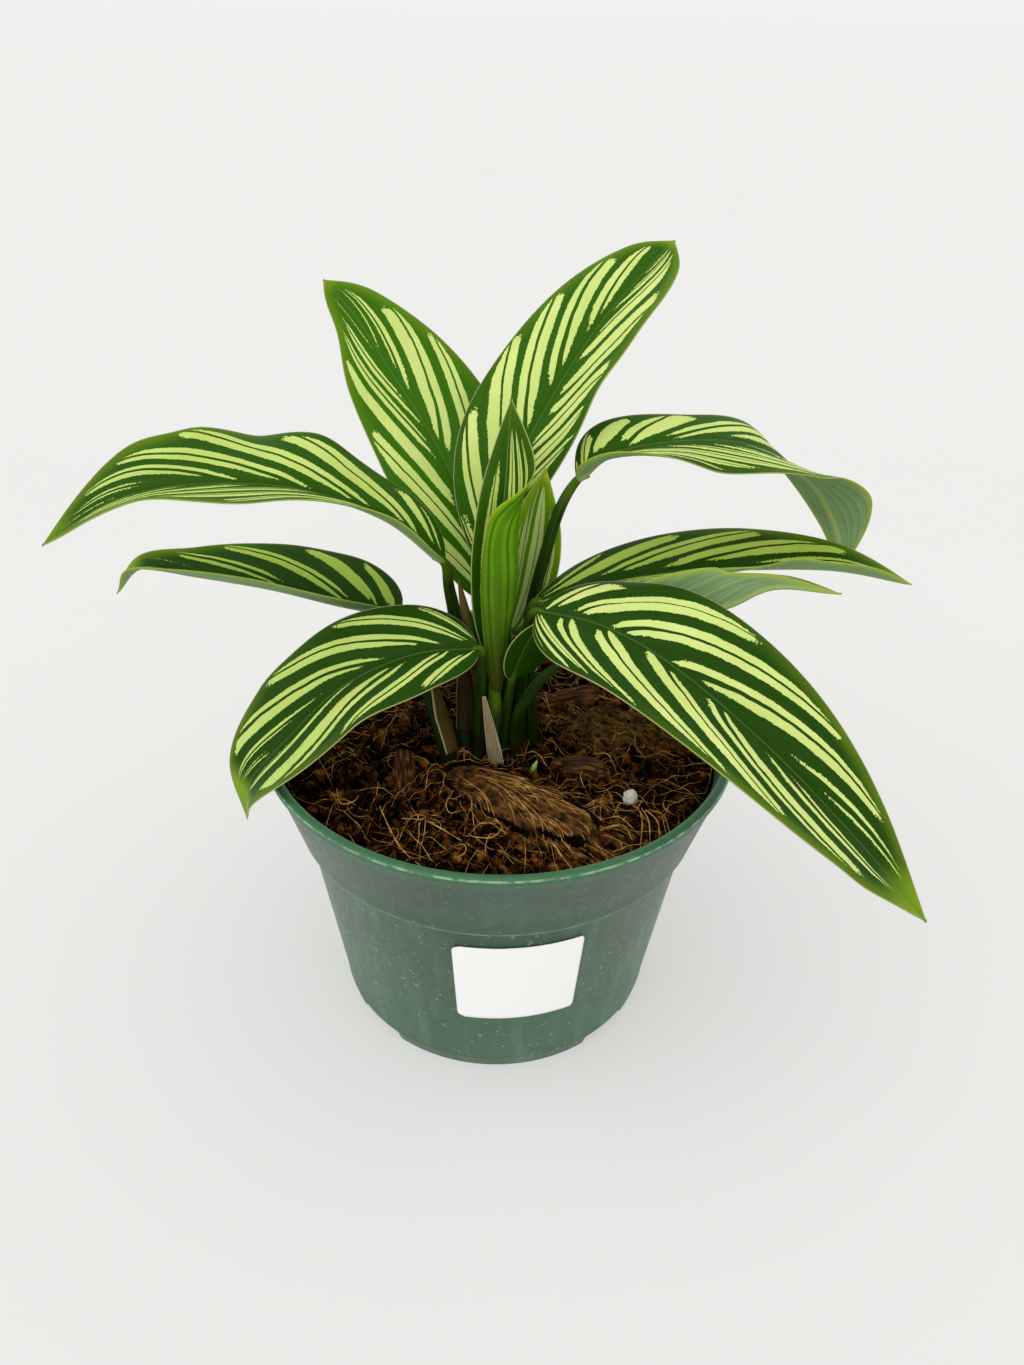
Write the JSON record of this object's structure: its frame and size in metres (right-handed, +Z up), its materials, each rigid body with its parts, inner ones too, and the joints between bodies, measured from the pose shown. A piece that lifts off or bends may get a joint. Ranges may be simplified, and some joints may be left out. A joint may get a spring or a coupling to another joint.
{
  "type": "potted vittata calathea",
  "caption": "Striped-leaf calathea growing in a round tapered nursery pot filled with coir and bark soil, with a blank sticker.",
  "frame": {"origin": "middle of the pot's flat base, on the surface that the pot stands on", "axes": "+Z up along the pot's axis, +Y away from the front of the plant, +X to the right seen from the front"},
  "size_m": [0.2645, 0.1524, 0.2414],
  "materials": {
    "pot": "semi-matt moulded polypropylene with pale scuffs",
    "label": "matt white sticker",
    "soil": "moist coir and bark mix, matt",
    "leaf": "waxy green leaf with pale yellow-green stripes",
    "young_leaf": "thin bright green young leaf",
    "stalk": "smooth dark green stalk",
    "sheath": "dry papery tan sheath",
    "spear": "reddish brown leaf spear",
    "shoot": "fresh light green shoot",
    "husk": "coconut fibre clump, matt",
    "bark": "bark chip, matt",
    "perlite": "rough white bead"
  },
  "bodies": {
    "root": {"pot": "pot", "label": "label", "soil": "soil", "blade_left_long": "leaf", "stalk_left_long": "stalk", "blade_left_back": "leaf", "stalk_left_back": "stalk", "blade_left_front": "leaf", "stalk_left_front": "stalk", "blade_far_left": "leaf", "stalk_far_left": "stalk", "blade_far_right": "leaf", "stalk_far_right": "stalk", "blade_right_upper": "leaf", "stalk_right_upper": "stalk", "blade_right_middle": "leaf", "stalk_right_middle": "stalk", "blade_right_pale": "leaf", "stalk_right_pale": "stalk", "blade_right_front": "leaf", "stalk_right_front": "stalk", "blade_young_front": "young_leaf", "stalk_young_front": "stalk", "blade_young_back": "young_leaf", "stalk_young_back": "stalk", "blade_small_shaded": "leaf", "stalk_small_shaded": "stalk", "sheath_left_back": "sheath", "sheath_left_long": "sheath", "bract": "sheath", "spear": "spear", "shoot": "shoot", "husk_clump": "husk", "bark_left": "bark", "bark_right": "bark", "bark_back": "bark", "perlite_bead": "perlite"}
  },
  "joints": []
}
